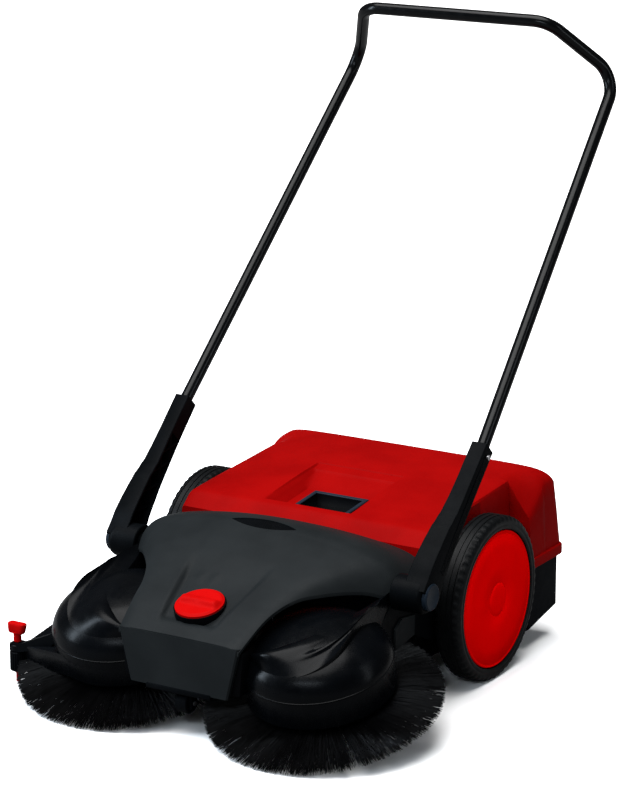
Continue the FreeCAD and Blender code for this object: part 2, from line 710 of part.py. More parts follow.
def container_shell():
    inner = container_block(SHELL_T).cut(grip_pocket(SHELL_T))
    shell = container_block(0).cut(grip_pocket(0)).cut(inner)
    tub_void = box(-TUB_HALF, TUB_HALF, BOX_FRONT + SHELL_T, WELL_REAR + 20, 100, WELL_TOP + 5)
    shell = shell.cut(tub_void)
    shell = shell.cut(box(-49, 49, -46, 27, 240, 330))
    bead = container_block(-3).cut(container_block(0)).common(box(-320, 320, WELL_REAR + 6, 330, 158, 166))
    return shell.fuse(bead).removeSplitter()


def container_tub():
    """Black dirt tub with the intake mouth in its front wall."""
    top = WELL_TOP + 4
    narrow = box(-TUB_HALF, TUB_HALF, BOX_FRONT + 4, WELL_REAR + 10, TUB_LOW, top)
    wide_top = LIP_LOW + 8
    wall = 3.0
    wide = Part.Face(rounded_plan(280, WELL_REAR + 4, TUB_REAR, CORNER_R - 2, 0))
    wide = wide.extrude(Vector(0, 0, wide_top))
    wide = wide.cut(slab_x([(190, -1), (190, 33), (330, 58), (330, -1)], -300, 300))
    tub = narrow.fuse(wide)
    void = box(-TUB_HALF + wall, TUB_HALF - wall, BOX_FRONT + 4 + wall, WELL_REAR + 20, TUB_LOW + wall, 300)
    wide_void = Part.Face(rounded_plan(280 - wall, WELL_REAR + 4 + wall, TUB_REAR - wall, CORNER_R - 2 - wall,
                                       0)).extrude(Vector(0, 0, 300))
    wide_void = wide_void.cut(slab_x([(190, -1), (190, 33 + wall), (330, 58 + wall), (330, -1)], -300, 300))
    mouth = box(-190, 190, BOX_FRONT - 10, BOX_FRONT + 10, 64, 128)
    return tub.cut(void).cut(wide_void).cut(mouth).removeSplitter()


def grip_frame():
    """Black insert: a flat rim round a cup for the fingers, with a bar across its front edge."""
    slope = (281 - 270.5) / 101
    floor = [(y, 270.5 + slope * (y + 61)) for y in (-51, 32)]
    rim_plate = slab_x(floor + [(y, z + 3) for y, z in floor[::-1]], -54, 54)
    cup = box(-48.5, 48.5, -45.5, 26.5, 228, 272)
    cup = cup.cut(box(-46, 46, -43, 24, 230.5, 300))
    top = box(-48.5, 48.5, -45.5, 26.5, 268, 285)
    top = top.common(slab_x([(y, z - 10) for y, z in floor] + floor[::-1], -60, 60))
    insert = cup.fuse(top).fuse(rim_plate)
    return insert.cut(box(-46, 46, -43, 24, 240, 300)).removeSplitter()


# Every node and the solid it holds

def build_pieces():
    pieces = {
        "chassis_frame": chassis_frame(),
        "front_cover": front_cover(),
        "slot_insert": slot_insert(),
        "cover_screws": cover_screws(),
        "dirt_ramp": dirt_ramp(),
        "ramp_lip": ramp_lip(),
        "height_knob": height_knob(),
        "knob_socket": knob_socket(),
        "roller_fork": roller_fork(),
        "roller_pin": roller_pin(),
        "support_roller": support_roller(),
        "guide_arm": guide_arm(),
        "guide_pin": guide_pin(),
        "guide_roller": guide_roller(),
        "guide_knob": guide_knob(),
        "handle_tube": handle_tube(),
        "tube_screws": tube_screws(),
        "container_shell": container_shell(),
        "container_tub": container_tub(),
        "grip_frame": grip_frame(),
        "axle_clips": both_sides(axle_clip()),
        "pivot_caps": both_sides(pivot_cap()),
    }
    paired = {
        "tyre": tyre(),
        "rim": rim(),
        "wheel_disc": wheel_disc(),
        "axle": axle(),
        "gear_shaft": gear_shaft(),
        "rear_pulley": pulley(LAY_R, LAY_Y, WHEEL_R),
        "drive_belt": drive_belt(),
        "front_shaft": front_shaft(),
        "front_pulley": pulley(FRONT_R, FRONT_Y, FRONT_Z),
        "crown_pinion": crown_pinion(),
        "crown_gear": crown_gear(),
        "brush_spindle": brush_spindle(),
        "spindle_bush": spindle_bush(),
        "brush_plate": brush_plate(),
        "brush_cover": brush_cover(),
        "side_panel": side_panel(),
        "handle_bracket": handle_bracket(),
        "pivot_pin": pivot_pin(),
        "bristles": bristles(),
    }
    for name, solid in paired.items():
        for word, side in SIDES:
            pieces[f"{name}_{word}"] = to_side(solid, side)
    return pieces


os.makedirs("parts", exist_ok=True)
for node, shape in build_pieces().items():
    shape.translate(FRAME_SHIFT)
    shape.exportStep(f"parts/{node}.step")
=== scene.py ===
"""Looks for the walk-behind sweeper: every visible piece and material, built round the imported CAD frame.

Metres, in the row frame. Shapes are drawn with the machine's middle plane at x = 0 and its drawing origin
at y = 0, and make() moves them to where the frame's wheels say that the middle plane is.
"""

import math
import random

import bmesh
import bpy
from mathutils import Matrix, Vector


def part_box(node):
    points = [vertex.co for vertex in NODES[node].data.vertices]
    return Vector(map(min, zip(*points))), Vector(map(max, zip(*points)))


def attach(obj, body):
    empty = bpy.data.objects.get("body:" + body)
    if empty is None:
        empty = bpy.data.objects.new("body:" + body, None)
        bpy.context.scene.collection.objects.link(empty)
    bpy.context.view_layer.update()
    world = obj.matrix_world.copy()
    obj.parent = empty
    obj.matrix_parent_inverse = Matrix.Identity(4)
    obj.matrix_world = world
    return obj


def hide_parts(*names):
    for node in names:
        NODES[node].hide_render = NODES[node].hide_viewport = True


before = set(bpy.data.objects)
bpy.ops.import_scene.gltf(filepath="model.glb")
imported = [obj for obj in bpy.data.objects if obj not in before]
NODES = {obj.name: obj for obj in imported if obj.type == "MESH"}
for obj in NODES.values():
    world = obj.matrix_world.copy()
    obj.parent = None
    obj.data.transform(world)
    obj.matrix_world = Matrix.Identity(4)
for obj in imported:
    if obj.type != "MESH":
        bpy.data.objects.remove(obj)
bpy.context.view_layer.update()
scene = bpy.context.scene

# Where the drawing's middle plane and wheel axle lie in the row frame
tyre_left_box, tyre_right_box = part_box("tyre_left"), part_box("tyre_right")
WHEEL_Y = 0.045
SHIFT = Vector(((tyre_left_box[0].x + tyre_right_box[1].x) / 2,
                (tyre_right_box[0].y + tyre_right_box[1].y) / 2 - WHEEL_Y, 0))
WHEEL_R = (tyre_right_box[1].z - tyre_right_box[0].z) / 2

# The right brush's axis: tilted forward, through this point; the left one mirrors it
BRUSH_CENTRE = BRUSH_X, BRUSH_Y, BRUSH_Z = 0.187, -0.335, 0.055
BRUSH_TILT = math.radians(15.2)


# ---------------------------------------------------------------- materials

def new_material(name):
    """Material with its node tree and its surface shader."""
    material = bpy.data.materials.new(name)
    material.use_nodes = True
    tree = material.node_tree
    return material, tree, tree.nodes["Principled BSDF"]


def link(tree, source, output, target, socket):
    """Join one node's output to another's input."""
    tree.links.new(source.outputs[output], target.inputs[socket])


def noise(tree, scale, detail, roughness=0.5):
    """Noise texture in the object's own coordinates."""
    node = tree.nodes.new("ShaderNodeTexNoise")
    node.inputs["Scale"].default_value = scale
    node.inputs["Detail"].default_value = detail
    node.inputs["Roughness"].default_value = roughness
    coords = tree.nodes.new("ShaderNodeTexCoord")
    link(tree, coords, "Object", node, "Vector")
    return node


def spread(tree, source, low, high):
    """Map the middle of a texture's 0-1 values to the range low-high."""
    node = tree.nodes.new("ShaderNodeMapRange")
    node.inputs["From Min"].default_value = 0.3
    node.inputs["From Max"].default_value = 0.7
    node.inputs["To Min"].default_value = low
    node.inputs["To Max"].default_value = high
    link(tree, source, "Fac", node, "Value")
    return node


def two_tone(tree, source, dark, light):
    """Colour that drifts between two tones as the texture does."""
    ramp = tree.nodes.new("ShaderNodeValToRGB")
    for element, position, colour in zip(ramp.color_ramp.elements, (0.35, 0.65), (dark, light)):
        element.position = position
        element.color = (*colour, 1)
    link(tree, source, "Fac", ramp, "Fac")
    return ramp


GRAIN_DEPTH = 0.0004


def add_bump(tree, shader, source, strength):
    """Fine relief of the surface, from a texture."""
    bump = tree.nodes.new("ShaderNodeBump")
    bump.inputs["Strength"].default_value = strength
    bump.inputs["Distance"].default_value = GRAIN_DEPTH
    link(tree, source, "Fac", bump, "Height")
    link(tree, bump, "Normal", shader, "Normal")


def moulded(name, dark, light, rough, grain, bump, metallic=0.0, specular=0.5):
    """Moulded or painted surface: faint colour drift, uneven gloss and a fine grain."""
    material, tree, shader = new_material(name)
    drift = noise(tree, 14.0, 4.0)
    link(tree, two_tone(tree, drift, dark, light), "Color", shader, "Base Color")
    wear = noise(tree, 55.0, 6.0, 0.6)
    link(tree, spread(tree, wear, rough - 0.05, rough + 0.07), "Result", shader, "Roughness")
    add_bump(tree, shader, noise(tree, grain, 2.0), bump)
    shader.inputs["Metallic"].default_value = metallic
    shader.inputs["Specular IOR Level"].default_value = specular
    return material


# Each material: dark and light tone, roughness, grain scale, grain strength and what else differs
LOOKS = {
    "hood_grey": ((0.0066, 0.0078, 0.0084), (0.0086, 0.0100, 0.0107), 0.46, 1500, 0.16, {"specular": 0.032}),
    "red_lid": ((0.160, 0.0006, 0.0006), (0.186, 0.0009, 0.0008), 0.48, 1200, 0.06, {"specular": 0.010}),
    # Wheel discs: the lid's red paint made several times lighter and given no gloss. This is painted light
    # for the sun their upright faces miss.
    "red_disc_painted_light": ((0.74, 0.0003, 0.0006), (0.82, 0.0004, 0.0008), 0.50, 1200, 0.06, {"specular": 0.0}),
    "red_knob": ((0.265, 0.0008, 0.0008), (0.300, 0.0012, 0.0011), 0.44, 1200, 0.06, {"specular": 0.012}),
    "black_gloss": ((0.0006, 0.0008, 0.0011), (0.0010, 0.0013, 0.0018), 0.25, 1300, 0.05,
                    {"specular": 0.050}),
    "black_plastic": ((0.0009, 0.0012, 0.0015), (0.0016, 0.0020, 0.0025), 0.40, 1100, 0.12,
                      {"specular": 0.016}),
    "tub_plastic": ((0.0022, 0.0027, 0.0036), (0.0032, 0.0038, 0.0050), 0.50, 1100, 0.12,
                    {"specular": 0.010}),
    "cup_black": ((0.0010, 0.0011, 0.0014), (0.0018, 0.0020, 0.0024), 0.55, 1000, 0.10, {"specular": 0.015}),
    "cap_blue_grey": ((0.0065, 0.0105, 0.0165), (0.0090, 0.0140, 0.0210), 0.40, 1200, 0.10,
                      {"specular": 0.05}),
    "rubber": ((0.0014, 0.0017, 0.0020), (0.0026, 0.0030, 0.0034), 0.44, 700, 0.20, {"specular": 0.075}),
    "lip_rubber": ((0.002, 0.002, 0.002), (0.004, 0.004, 0.004), 0.65, 600, 0.30, {"specular": 0.05}),
    "bristle": ((0.0006, 0.0006, 0.0008), (0.0028, 0.0028, 0.0031), 0.34, 300, 0.05, {"specular": 0.16}),
    "steel": ((0.26, 0.26, 0.27), (0.34, 0.34, 0.35), 0.30, 900, 0.06, {"metallic": 1.0}),
    "tube_paint": ((0.0008, 0.0010, 0.0012), (0.0014, 0.0016, 0.0019), 0.20, 1000, 0.04, {"specular": 0.10}),
    "bush_plastic": ((0.22, 0.21, 0.18), (0.28, 0.27, 0.24), 0.50, 800, 0.12, {}),
}
MATERIALS = {name: moulded(name, *look, **extra) for name, (*look, extra) in LOOKS.items()}

# What the nodes of each material start with; the others are black plastic
NODE_MATERIALS = {
    "hood_grey": ("front_cover", "side_panel"),
    "red_knob": ("height_knob", "guide_knob", "guide_pin"),
    "red_disc_painted_light": ("wheel_disc",),
    "red_lid": ("container_shell",),
    "black_gloss": ("brush_cover", "slot_insert"),
    "cap_blue_grey": ("pivot_caps",),
    "rubber": ("tyre",),
    "lip_rubber": ("ramp_lip", "drive_belt"),
    "bristle": ("bristles",),
    "tube_paint": ("handle_tube",),
    "bush_plastic": ("spindle_bush", "crown", "front_pulley", "rear_pulley"),
    "steel": ("cover_screws", "roller_pin", "tube_screws", "axle", "gear_shaft", "front_shaft",
              "brush_spindle", "pivot_pin"),
}


def material_of(node):
    """Name of the material that a CAD node wears."""
    for material, starts in NODE_MATERIALS.items():
        if node.startswith(starts):
            return material
    return "black_plastic"


for node, thing in NODES.items():
    thing.data.materials.clear()
    thing.data.materials.append(MATERIALS[material_of(node)])


# ---------------------------------------------------------------- mesh helpers

class Shape:
    """Vertices and faces gathered in drawing metres, mirrored for the left side when asked."""

    def __init__(self):
        self.verts, self.faces = [], []

    def add(self, verts, faces):
        """Add points, and faces that count from the first of them."""
        start = len(self.verts)
        self.verts += [tuple(v) for v in verts]
        self.faces += [tuple(start + i for i in face) for face in faces]

    def grid(self, rows, wrap=False, caps=False):
        """Quads between rows of points; wrap closes each row on itself, caps closes the ends."""
        count, width = len(rows), len(rows[0])
        quads = []
        for j in range(count - 1):
            for i in range(width if wrap else width - 1):
                k = (i + 1) % width
                quads.append((j * width + i, j * width + k, (j + 1) * width + k, (j + 1) * width + i))
        if caps:
            quads.append(tuple(range(width))[::-1])
            quads.append(tuple((count - 1) * width + i for i in range(width)))
        self.add([p for row in rows for p in row], quads)

    def block(self, corners_low, corners_high):
        """Closed block between two outlines with the same number of corners."""
        self.grid([corners_low, corners_high], wrap=True, caps=True)

    def mirrored(self):
        """The same shape on the other side of the middle plane."""
        other = Shape()
        other.add([(-x, y, z) for x, y, z in self.verts], [face[::-1] for face in self.faces])
        return other


def mesh_object(shape, name, weld=0.0):
    """Object of the shape in drawing metres, with its points welded when asked and its normals outwards."""
    mesh = bpy.data.meshes.new(name)
    mesh.from_pydata(shape.verts, [], shape.faces)
    thing = bpy.data.objects.new(name, mesh)
    scene.collection.objects.link(thing)
    work = bmesh.new()
    work.from_mesh(mesh)
    if weld:
        bmesh.ops.remove_doubles(work, verts=work.verts, dist=weld)
    bmesh.ops.recalc_face_normals(work, faces=work.faces)
    work.to_mesh(mesh)
    work.free()
    return thing


def make(shape, name, material, body, replaces=(), bevel=0.0, cutters=(), smooth_angle=35):
    """Turn a shape into a finished piece that rides its body and stands for its CAD nodes."""
    thing = mesh_object(shape, name, weld=1e-6)
    cutters = [mesh_object(cutter, "cutter") for cutter in cutters]
    for cutter in cutters:
        cut = thing.modifiers.new("cut", "BOOLEAN")
        cut.operation, cut.object, cut.solver = "DIFFERENCE", cutter, "EXACT"
    if bevel:
        edge = thing.modifiers.new("edge", "BEVEL")
        edge.width, edge.segments, edge.limit_method = bevel, 2, "ANGLE"
        edge.angle_limit = math.radians(30)
        edge.use_clamp_overlap = True
    if thing.modifiers:
        graph = bpy.context.evaluated_depsgraph_get()
        solid = bpy.data.meshes.new_from_object(thing.evaluated_get(graph))
        thing.modifiers.clear()
        thing.data = solid
    for cutter in cutters:
        bpy.data.objects.remove(cutter)
    thing.data.transform(Matrix.Translation(SHIFT))
    thing.data.polygons.foreach_set("use_smooth", [True] * len(thing.data.polygons))
    thing.data.set_sharp_from_angle(angle=math.radians(smooth_angle))
    thing.data.materials.clear()
    thing.data.materials.append(MATERIALS[material])
    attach(thing, body)
    if replaces:
        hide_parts(*replaces)
    return thing


def make_pair(right, left, name, material, body, node, smooth_angle=35):
    """Right and left piece of a pair; a body that holds {} gets the side's name there."""
    for side, shape in (("right", right), ("left", left)):
        make(shape, f"{name}_{side}", material, body.format(side), (f"{node}_{side}",),
             smooth_angle=smooth_angle)


def ease(value):
    """Smooth step: 0 up to 0, 1 from 1 on."""
    value = min(max(value, 0.0), 1.0)
    return value * value * (3 - 2 * value)


def soft_min(values, reach):
    """Smallest of the values, with the corner between close ones rounded off."""
    lowest = min(values)
    return lowest - reach * math.log(sum(math.exp((lowest - v) / reach) for v in values))


def turns(steps):
    """Equal steps of a full turn, in radians."""
    return [2 * math.pi * i / steps for i in range(steps)]


def ring_x(x, radius, y, z, steps, wave):
    """Circle square to X about (y, z); wave may change the radius as the angle grows."""
    points = []
    for turn in turns(steps):
        r = radius if wave is None else wave(radius, turn)
        points.append((x, y + r * math.cos(turn), z + r * math.sin(turn)))
    return points


def lathe_x(shape, profile, y, z, steps, wave=None):
    """Turn a closed (x, radius) profile about the X-direction axis through (y, z)."""
    rows = [ring_x(x, r, y, z, steps, wave) for x, r in profile]
    shape.grid(rows + rows[:1], wrap=True)


def frame_along(points):
    """Each point of a path with its two side directions, without twist."""
    frames = []
    side = None
    for i, p in enumerate(points):
        ahead = (points[min(i + 1, len(points) - 1)] - points[max(i - 1, 0)]).normalized()
        if side is None:
            side = ahead.orthogonal().normalized()
        side = (side - ahead * side.dot(ahead)).normalized()
        frames.append((p, side, ahead.cross(side)))
    return frames


def sweep(shape, points, radius, steps):
    """Round tube along a path of points, with closed ends."""
    rows = []
    for point, a, b in frame_along(points):
        rows.append([point + radius * (math.cos(turn) * a + math.sin(turn) * b) for turn in turns(steps)])
    shape.grid(rows, wrap=True, caps=True)


def on_axis(point, origin, tilt):
    """A point given on an upright axis, tilted forward about X and moved to its place."""
    x, y, z = point
    c, s = math.cos(tilt), math.sin(tilt)
    return (origin[0] + x, origin[1] + y * c - z * s, origin[2] + y * s + z * c)


def rectangle(half, front, rear, z_front, z_rear):
    """Corners of a rectangle about the middle plane, with the heights of its front and rear edges."""
    return [(-half, front, z_front), (half, front, z_front), (half, rear, z_rear), (-half, rear, z_rear)]


def lathe_rows(profile, origin, tilt, steps):
    """Rings of a (radius, height) profile about an axis through origin, tilted forward about X."""
    return [[on_axis((r * math.cos(turn), r * math.sin(turn), h), origin, tilt) for turn in turns(steps)]
            for r, h in profile]


def spline(points, steps):
    """Smooth curve through the points, as a list of tuples."""
    result = []
    padded = [points[0]] + list(points) + [points[-1]]
    for p0, p1, p2, p3 in zip(padded, padded[1:], padded[2:], padded[3:]):
        for k in range(steps):
            t = k / steps
            result.append(tuple(
                0.5 * (2 * b + (c - a) * t + (2 * a - 5 * b + 4 * c - d) * t * t
                       + (3 * b - a - 3 * c + d) * t ** 3)
                for a, b, c, d in zip(p0, p1, p2, p3)))
    result.append(tuple(points[-1]))
    return result


# ---------------------------------------------------------------- hood

# y, half width, then height at the middle, at the shoulder and at the edge
HOOD = [(-0.479, 0.115, 0.178, 0.176, 0.170), (-0.425, 0.124, 0.209, 0.208, 0.204),
        (-0.385, 0.133, 0.228, 0.226, 0.220), (-0.350, 0.149, 0.244, 0.240, 0.230),
        (-0.320, 0.170, 0.258, 0.251, 0.232), (-0.290, 0.194, 0.271, 0.258, 0.232),
        (-0.260, 0.220, 0.284, 0.262, 0.228), (-0.235, 0.244, 0.294, 0.263, 0.218),
        (-0.209, 0.261, 0.300, 0.262, 0.210), (-0.165, 0.261, 0.293, 0.258, 0.212),
        (-0.109, 0.250, 0.273, 0.248, 0.222)]
HOOD_THICK, HOOD_LIP = 0.0035, 0.006
KNOB_CENTRE, KNOB_R, KNOB_TILT = (0, -0.414, 0.212), 0.041, math.radians(16)
PIVOT_Y, PIVOT_Z = -0.209, 0.2205


def hood_point(section, across):
    """Point of the hood's outer face; across runs from -1 to 1 and the flanks turn down beyond 0.9."""
    y, half, middle, shoulder, edge = section
    x = half * across
    z = middle - (middle - shoulder) * across ** 2 - (shoulder - edge) * abs(across) ** 14
    recess_depth, front, rear = 0.0085, -0.454, -0.298
    width = 0.056 + (y + 0.448) / 0.128 * 0.024
    z -= recess_depth * ease((width - abs(x)) / 0.009) * ease((y - front) / 0.010) * ease((rear - y) / 0.075)
    bump_y, bump_r, bump_height = -0.352, 0.009, 0.0022
    for bump_x in (-0.038, -0.012):
        near = ((x - bump_x) ** 2 + (y - bump_y) ** 2) / bump_r ** 2
        z += bump_height * math.exp(-near)
    return (x, y, z)


def hood():
    """Grey top panel with its lip, the knob's hole and the lens-shaped slot."""
    shape = Shape()
    across = [math.sin(math.pi * (i / 96 - 0.5)) for i in range(97)]
    rows = []
    for section in spline(HOOD, 9):
        face = [hood_point(section, a) for a in across]
        back = [(x * (1 - HOOD_THICK / section[1]), y, z - HOOD_THICK) for x, y, z in face]
        left, right = face[0], face[-1]
        lip_left = (left[0] + 0.0006, left[1], left[2] - HOOD_LIP)
        lip_right = (right[0] - 0.0006, right[1], right[2] - HOOD_LIP)
        rows.append([lip_left] + face + [lip_right] + back[::-1])
    shape.grid(rows, wrap=True, caps=True)
    hole = Shape()
    hole_r = KNOB_R + 0.0022
    hole.grid(lathe_rows([(hole_r, -0.04), (hole_r, 0.03)], KNOB_CENTRE, KNOB_TILT, 64), wrap=True, caps=True)
    make(shape, "hood_top", "hood_grey", "chassis", ("front_cover",), cutters=(hole, lens_prism(-0.02, 0.02)),
         smooth_angle=50)


def lens_prism(low, high):
    """Lens outline on the slope before the crest, extruded square to it."""
    arc, half = 0.144, 0.015
    span = math.acos((arc - half) / arc)
    outline = []
    for sign in (1, -1):
        for i in range(24):
            turn = -span + 2 * span * i / 24
            outline.append((sign * arc * math.sin(turn), -sign * (arc * math.cos(turn) - arc + half)))
    centre, tilt = (0, -0.220, 0.2972), math.radians(13)
    lens = Shape()
    lens.grid([[on_axis((x, y, h), centre, tilt) for x, y in outline] for h in (low, high)],
              wrap=True, caps=True)
    return lens


APRON_FRONT, APRON_BACK, APRON_LOW, APRON_HIGH = -0.480, -0.470, 0.087, 0.1755
APRON_HALF_LOW, APRON_HALF_HIGH = 0.093, 0.1145


def hood_apron():
    """Flat nose below the top panel, narrowing downwards, with the bumper strip and a dark liner."""
    shape = Shape()
    rows = []
    for k in range(9):
        part = k / 8
        z = APRON_LOW + part * (APRON_HIGH - APRON_LOW)
        half = APRON_HALF_LOW + part * (APRON_HALF_HIGH - APRON_HALF_LOW)
        right = [(half - 0.0024, APRON_FRONT), (half + 0.0004, APRON_FRONT + 0.0024),
                 (half + 0.0004, APRON_BACK), (half - 0.0036, APRON_BACK),
                 (half - 0.004, APRON_FRONT + 0.004)]
        loop = right + [(-x, y) for x, y in right[::-1]]
        rows.append([(x, y, z) for x, y in loop])
    shape.grid(rows, wrap=True, caps=True)
    make(shape, "hood_apron", "hood_grey", "chassis", smooth_angle=40)
    for name, material, front, back, bevel, ends in (
            ("bumper_strip", "black_plastic", -0.4815, -0.470, 0.0015, ((0.062, 0.0805), (0.062, 0.0895))),
            ("nose_liner", "cup_black", -0.4685, -0.4400, 0.0010, ((0.110, 0.092), (0.1165, 0.166)))):
        block = Shape()
        block.block(*(rectangle(half, front, back, z, z) for half, z in ends))
        make(block, name, material, "chassis", bevel=bevel)


# ---------------------------------------------------------------- brush housings

def brush_housing():
    """Drum-shaped skirt with a fine seam and a domed top."""
    profile = [(0.1205, 0.033), (0.1235, 0.034), (0.1238, 0.060), (0.1238, 0.0800), (0.1244, 0.0806),
               (0.1246, 0.0815), (0.1244, 0.0824), (0.1236, 0.0829), (0.1234, 0.0838), (0.1236, 0.0850),
               (0.1230, 0.0885), (0.1216, 0.0930), (0.1194, 0.0985), (0.1163, 0.1045), (0.1126, 0.1100),
               (0.1080, 0.1152), (0.1025, 0.1200), (0.0965, 0.1246), (0.0895, 0.1290), (0.0820, 0.1328),
               (0.074, 0.1362), (0.062, 0.1398), (0.050, 0.1424), (0.030, 0.1450), (0.001, 0.1458)]
    inner = [(0.001, 0.124), (0.083, 0.121), (0.098, 0.113), (0.111, 0.1035), (0.1185, 0.092),
             (0.1205, 0.080), (0.1205, 0.033)]
    shape = Shape()
    shape.grid(lathe_rows(profile + inner, BRUSH_CENTRE, BRUSH_TILT, 128), wrap=True)
    return shape


# Ridge of the housing's bulge, from the nose to the handle pivot
RIDGE = [(0.126, -0.440, 0.150), (0.158, -0.430, 0.172), (0.190, -0.404, 0.186), (0.208, -0.358, 0.194),
         (0.220, -0.305, 0.202), (0.233, -0.252, 0.213), (0.246, -0.209, 0.226)]


def frame_bulge(shape, blade_size):
    """Rounded shoulder between the ridge and the drum, with a fold and a blade-like edge along it."""
    ridge = spline(RIDGE, 9)
    rows = []
    for i, point in enumerate(ridge):
        u = i / (len(ridge) - 1)
        turn = math.radians(222 + 148 * u)
        rise = ease((u - 0.3) / 0.7)
        reach, height = 0.106 - 0.034 * rise, 0.1165 + 0.0385 * rise
        ledge = Vector(on_axis((reach * math.cos(turn), reach * math.sin(turn), height),
                               BRUSH_CENTRE, BRUSH_TILT))
        top = Vector(point)
        outward = Vector((ledge.x - top.x, ledge.y - top.y, 0)).normalized()
        push = outward * 0.8 + Vector((0, 0, 0.6))
        row = [top - outward * back - Vector((0, 0, drop))
               for back, drop in ((0.020, 0.060), (0.012, 0.020), (0.0035, 0.0022), (0.001, 0))]
        bow = 0.014 - 0.010 * ease((u - 0.4) / 0.5)
        sharp = blade_size * ease((u - 0.34) / 0.3)
        for k in range(1, 25):
            v = k / 24
            swell = bow * math.sin(math.pi * v ** 0.8)
            blade = 0.0075 * sharp * math.exp(-((v - 0.60) / 0.055) ** 2)
            fold = 0.0050 * sharp * math.exp(-((v - 0.46) / 0.08) ** 2)
            row.append(top.lerp(ledge, v) + push * (swell + blade - fold))
        row.append(ledge - Vector((0, 0, 0.006)))
        row.append(ledge - Vector((0, 0, 0.030)) - outward * 0.004)
        rows.append(row)
    shape.grid(rows, wrap=True, caps=True)


def brush_side(blade_size):
    """Right-hand housing with the bulge that runs up to the handle pivot."""
    shape = brush_housing()
    frame_bulge(shape, blade_size)
    return shape


# The side guide's pin, and the radius and height of its roller
GUIDE_X, GUIDE_Y = -0.3785, -0.402
GUIDE_R, GUIDE_LOW, GUIDE_HIGH = 0.0138, 0.026, 0.060


def stadium(big, small, swing, big_steps):
    """Outline round two circles, each (x, y, radius, height); the small one's arc is twice the swing."""
    heading = math.atan2(small[1] - big[1], small[0] - big[0])
    ring = []
    for (x, y, r, h), steps, start, sweep_by in ((big, big_steps, heading + swing, 2 * math.pi - 2 * swing),
                                                 (small, 16, heading - swing, 2 * swing)):
        for i in range(steps + 1):
            turn = start + sweep_by * i / steps
            ring.append((x + r * math.cos(turn), y + r * math.sin(turn), h))
    return ring


def side_guard():
    """Skirt that widens the left housing towards the side guide, and the lug over the guide's roller."""
    shape = Shape()
    centre = (-BRUSH_X, BRUSH_Y, BRUSH_Z)
    end = (-0.1720, -0.0600)
    skirt = []
    for big, h_big, small, h_small in ((0.1230, 0.0340, 0.0060, 0.0020), (0.1242, 0.0350, 0.0070, 0.0030),
                                       (0.1242, 0.0600, 0.0070, 0.0340), (0.1238, 0.0680, 0.0065, 0.0360),
                                       (0.1225, 0.0760, 0.0050, 0.0372)):
        swing = math.acos((big - small) / math.hypot(*end))
        skirt.append(stadium((0, 0, big, h_big), (*end, small, h_small), swing, 40))
    shape.grid([[on_axis(p, centre, BRUSH_TILT) for p in ring] for ring in skirt], wrap=True, caps=True)
    root = (-0.348, -0.386)
    lug_r, root_r = 0.0122, 0.0095
    lug = []
    for z, inset in ((0.0612, 0.0010), (0.0622, 0.0), (0.0715, 0.0), (0.0725, 0.0010)):
        lug.append(stadium((GUIDE_X, GUIDE_Y, lug_r - inset, z), (*root, root_r - inset, z), math.pi / 2, 32))
    shape.grid(lug, wrap=True, caps=True)
    make(shape, "side_guard", "black_gloss", "chassis", smooth_angle=38)


def guide_wheel():
    """Fluted black roller of the side guide."""
    bore = 0.0042
    rows = []
    for r, z in ((bore, GUIDE_LOW), (0.0120, GUIDE_LOW), (GUIDE_R, GUIDE_LOW + 0.0012),
                 (GUIDE_R, GUIDE_HIGH - 0.0012), (0.0120, GUIDE_HIGH), (bore, GUIDE_HIGH)):
        ring = []
        for turn in turns(120):
            flute = 0.0008 * ease((math.sin(20 * turn) + 0.3) / 0.8) if r == GUIDE_R else 0
            ring.append((GUIDE_X + (r - flute) * math.cos(turn), GUIDE_Y + (r - flute) * math.sin(turn), z))
        rows.append(ring)
    roller = Shape()
    roller.grid(rows + rows[:1], wrap=True)
    make(roller, "guide_wheel", "black_plastic", "guide_roller", ("guide_roller",), smooth_angle=35)


def wing_knob():
    """Red knob of the side guide: a round neck and two wings with a waist between them."""
    knob = Shape()
    neck = [(0.0070, 0.0780), (0.0070, 0.0900), (0.0078, 0.0925), (0.0095, 0.0940)]
    knob.grid(lathe_rows(neck, (GUIDE_X, GUIDE_Y, 0), 0, 32), wrap=True, caps=True)
    rows = []
    for z, half, thick, lean in ((0.0915, 0.0140, 0.0062, -0.0010), (0.0935, 0.0158, 0.0074, -0.0012),
                                 (0.0990, 0.0170, 0.0082, -0.0006), (0.1050, 0.0178, 0.0086, 0.0),
                                 (0.1085, 0.0178, 0.0082, 0.0002), (0.1102, 0.0160, 0.0066, 0.0004)):
        ring = []
        for turn in turns(40):
            c, s = math.cos(turn), math.sin(turn)
            waist = 0.62 + 0.38 * abs(c) ** 1.5
            ring.append((GUIDE_X + lean + half * math.copysign(abs(c) ** 0.7, c),
                         GUIDE_Y + 1.36 * thick * waist * s, z))
        rows.append(ring)
    knob.grid(rows, wrap=True, caps=True)
    make(knob, "wing_knob", "red_knob", "guide_screw", ("guide_knob",), smooth_angle=35)


def brush_housings():
    make_pair(brush_side(1.0), brush_side(0.25).mirrored(), "housing", "black_gloss", "chassis",
              "brush_cover", 38)


# ---------------------------------------------------------------- bristles

# Clumps round the plate, bristles in each, and the radii of their roots and of the longest tips
CLUMPS, PER_CLUMP = 60, 92
ROOT_R, TIP_R = 0.058, 0.198
FLOOR_GAP = 0.0006


